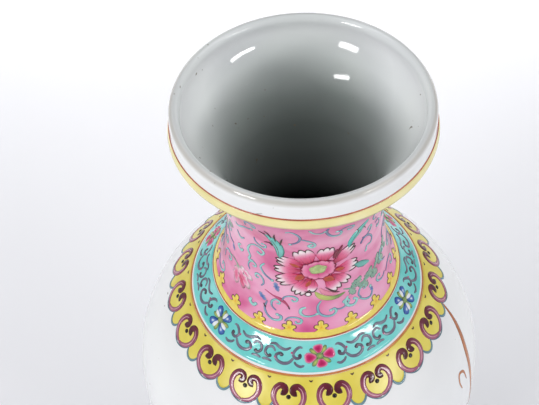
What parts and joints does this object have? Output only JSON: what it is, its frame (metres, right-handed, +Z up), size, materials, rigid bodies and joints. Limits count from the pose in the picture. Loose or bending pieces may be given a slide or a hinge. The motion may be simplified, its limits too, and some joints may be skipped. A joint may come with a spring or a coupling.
{
  "type": "porcelain vase",
  "caption": "Tall porcelain baluster vase with a flared cupped mouth, waisted rose-ground neck, turquoise band and yellow lappet collar over a white body and ring foot.",
  "frame": {"origin": "centre of the foot ring on the standing surface", "axes": "+Z up along the vase's turning axis; the painted crimson band flower nearest the front faces -Y"},
  "size_m": [0.2126, 0.2126, 0.46],
  "materials": {
    "porcelain": "biscuit-fired hard-paste porcelain, smooth matt where bare",
    "porcelain_slip": "fired porcelain slip",
    "clear_glaze": "glossy clear feldspathic glaze, faint grey-green tint, a few iron specks",
    "iron_red_enamel": "thin iron-red overglaze enamel, satin",
    "pale_yellow_enamel": "glossy pale yellow overglaze enamel",
    "yellow_enamel": "glossy opaque yellow overglaze enamel",
    "rose_enamel": "glossy opaque rose enamel, mottled lighter and darker",
    "turquoise_enamel": "glossy turquoise enamel",
    "blue_enamel": "blue-grey overglaze enamel",
    "plum_enamel": "plum to maroon overglaze enamel, glossy",
    "black_enamel": "brown-black overglaze enamel",
    "green_enamel": "translucent green overglaze enamel",
    "white_enamel": "opaque white overglaze enamel",
    "crimson_enamel": "ruby rose overglaze enamel"
  },
  "bodies": {
    "root": {"neck_section": "porcelain", "neck_seam_slip": "porcelain_slip", "shoulder_section": "porcelain", "belly_seam_slip": "porcelain_slip", "foot_section": "porcelain", "inside_glaze": "clear_glaze", "outside_glaze": "clear_glaze", "base_glaze": "clear_glaze", "rim_red_line": "iron_red_enamel", "rim_yellow_band": "pale_yellow_enamel", "neck_pink_ground": "rose_enamel", "trefoil_border": "yellow_enamel", "neck_base_line": "iron_red_enamel", "turquoise_band": "turquoise_enamel", "collar_red_line": "iron_red_enamel", "collar_yellow_ground": "yellow_enamel", "collar_blue_edging": "blue_enamel", "ruyi_scrolls": "plum_enamel", "ruyi_dots": "black_enamel", "foot_yellow_band": "yellow_enamel", "foot_red_line": "iron_red_enamel"}
  },
  "joints": []
}
